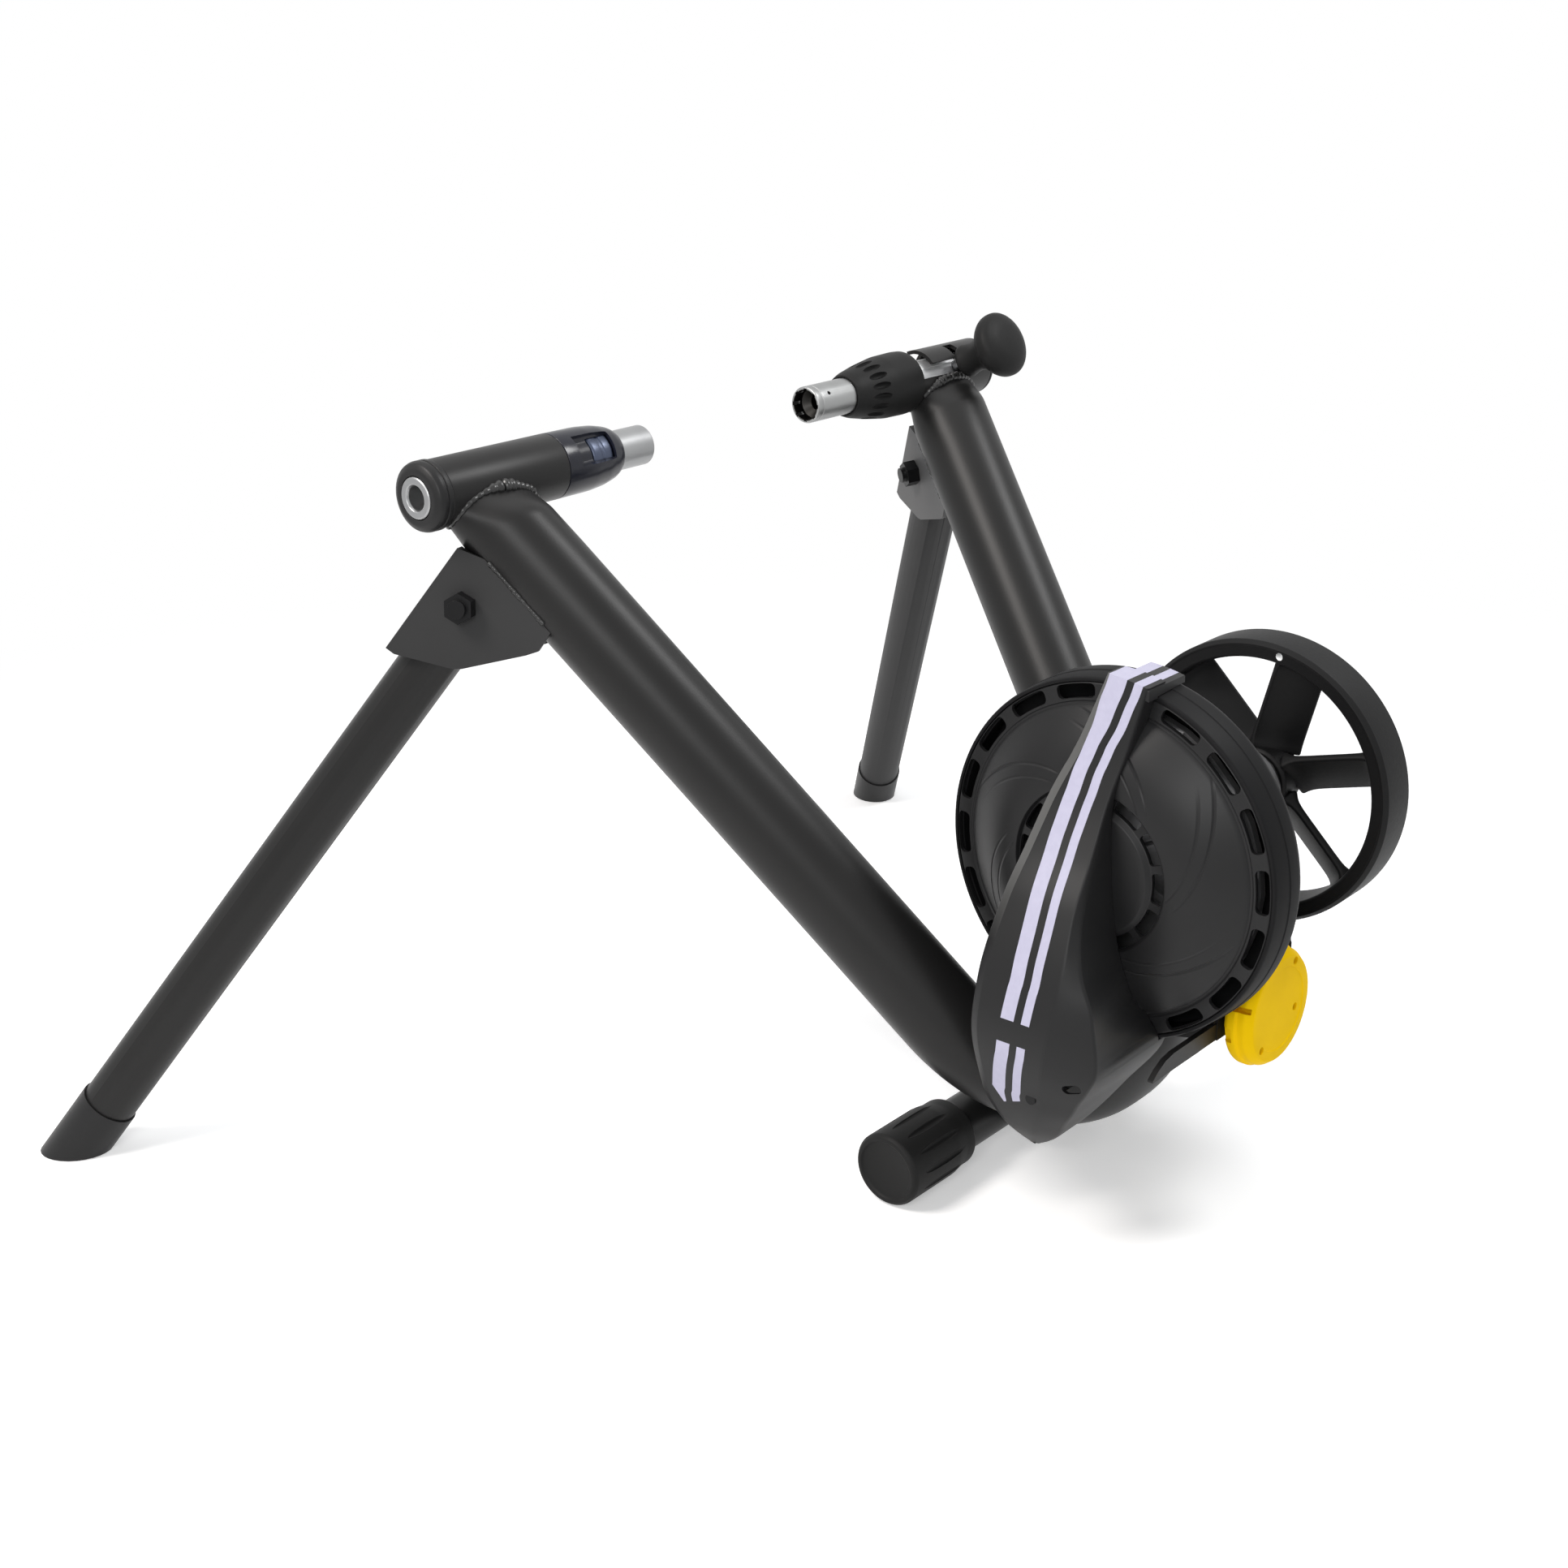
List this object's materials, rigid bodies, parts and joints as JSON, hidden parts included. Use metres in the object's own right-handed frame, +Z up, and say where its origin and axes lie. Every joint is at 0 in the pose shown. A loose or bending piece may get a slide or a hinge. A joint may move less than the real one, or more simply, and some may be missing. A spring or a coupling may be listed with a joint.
{
  "type": "wheel-on bicycle trainer",
  "caption": "Folding tube stand that clamps a bicycle's rear axle and presses its tyre on a roller with a vented resistance drum and a spoked flywheel",
  "frame": {"origin": "on the floor, under the middle of the whole object", "axes": "X across the bicycle with the drum on the -X side, Y forward along the bicycle, Z up"},
  "size_m": [0.8002, 0.631, 0.441],
  "materials": {
    "black_paint": "satin black powder coat",
    "grey_paint": "satin dark grey powder coat",
    "black_plastic": "finely grained black moulding",
    "yellow_plastic": "smooth yellow moulding",
    "zinc": "bright zinc plate",
    "steel": "turned and ground steel",
    "black_steel": "black oxide",
    "aluminium": "turned aluminium",
    "cast_iron": "black painted casting, machined rim",
    "copper": "enamelled copper wire",
    "bronze": "plain bearing bronze",
    "board": "green printed board"
  },
  "bodies": {
    "stand": {"frame_tube": "black_paint", "cross_tube": "black_paint", "cross_cap_left": "black_plastic", "cross_cap_right": "black_plastic", "left_head_tube": "black_paint", "left_end_cap": "black_plastic", "left_nose": "black_plastic", "left_lock_nut": "zinc", "right_head_tube": "black_paint", "right_end_cap": "black_plastic", "left_leg_bracket": "black_paint", "right_leg_bracket": "grey_paint", "left_hinge_bolt": "black_steel", "right_hinge_bolt": "black_steel", "unit_bracket": "black_paint", "pivot_bolt": "black_steel", "anchor_pin": "steel", "anchor_spacer_left": "zinc", "anchor_spacer_right": "zinc"},
    "left_axle_pin": {"left_pin": "zinc"},
    "adjuster": {"right_collar": "black_plastic"},
    "clamp_slider": {"thrust_washer": "steel"},
    "clamp_handle": {"clamp_bolt": "zinc", "handle_stem": "steel", "handle_knob": "black_plastic"},
    "right_axle_pin": {"right_pin": "zinc"},
    "left_support": {"left_leg": "black_paint", "left_foot": "black_plastic"},
    "right_support": {"right_leg": "grey_paint", "right_foot": "black_plastic"},
    "unit": {"yoke": "black_paint", "pivot_bush_left": "bronze", "pivot_bush_right": "bronze", "bearing_left": "steel", "bearing_right": "steel", "drum_front_cover": "black_plastic", "drum_pan": "black_plastic", "cover_arm": "black_plastic", "arm_screw": "black_steel", "circuit_board": "board", "power_inlet": "black_plastic", "coil_ring": "steel", "brake_coils": "copper"},
    "rotor": {"rotor_shaft": "steel", "roller": "aluminium", "flywheel": "cast_iron", "flywheel_nut": "zinc", "brake_rotor": "aluminium"},
    "knob": {"clutch_knob": "yellow_plastic"},
    "bolt": {"tension_bolt": "zinc"}
  },
  "joints": [
    {"name": "left_leg_fold", "type": "hinge", "parent": "stand", "child": "left_support", "pos_m": [-0.21211, 0.1007, 0.33488], "axis": [-0.8493, -0.5116, 0.1305], "range_deg": [0, 66]},
    {"name": "right_leg_fold", "type": "hinge", "parent": "stand", "child": "right_support", "pos_m": [0.21211, 0.1007, 0.33488], "axis": [-0.8493, 0.5116, -0.1305], "range_deg": [0, 66]},
    {"name": "left_cone_adjust", "type": "slide", "parent": "stand", "child": "left_axle_pin", "axis": [1, 0, 0], "range_m": [-0.008, 0.008]},
    {"name": "clamp_slide", "type": "slide", "parent": "stand", "child": "clamp_slider", "axis": [-1, 0, 0], "range_m": [0, 0.04]},
    {"name": "handle_turn", "type": "hinge", "parent": "clamp_slider", "child": "clamp_handle", "pos_m": [0.216, 0.10536, 0.3973], "axis": [-1, 0, 0], "range_deg": [0, 42]},
    {"name": "collar_turn", "type": "hinge", "parent": "stand", "child": "adjuster", "pos_m": [0.14, 0.10536, 0.3973], "axis": [1, 0, 0], "range_deg": [0, 1440]},
    {"name": "pin_adjust", "type": "slide", "parent": "clamp_slider", "child": "right_axle_pin", "axis": [-1, 0, 0], "range_m": [0, 0.008]},
    {"name": "unit_tilt", "type": "hinge", "parent": "stand", "child": "unit", "pos_m": [0, -0.13964, 0.075], "axis": [-1, 0, 0], "range_deg": [-3, 2.5]},
    {"name": "rotor_spin", "type": "hinge", "parent": "unit", "child": "rotor", "pos_m": [0, -0.21514, 0.2164], "axis": [1, 0, 0], "continuous": true},
    {"name": "knob_turn", "type": "hinge", "parent": "unit", "child": "knob", "pos_m": [0, -0.26564, 0.1294], "axis": [0, -1, 0], "range_deg": [-700, 585]},
    {"name": "bolt_swing", "type": "hinge", "parent": "stand", "child": "bolt", "pos_m": [0, -0.15964, 0.1294], "axis": [-1, 0, 0], "range_deg": [-3.6, 3]}
  ],
  "couplings": [
    {"joint": "knob_turn", "follows": "unit_tilt", "ratio": 228},
    {"joint": "bolt_swing", "follows": "unit_tilt", "ratio": 1.14},
    {"joint": "collar_turn", "follows": "pin_adjust", "rad_per_m": 3141.6}
  ]
}
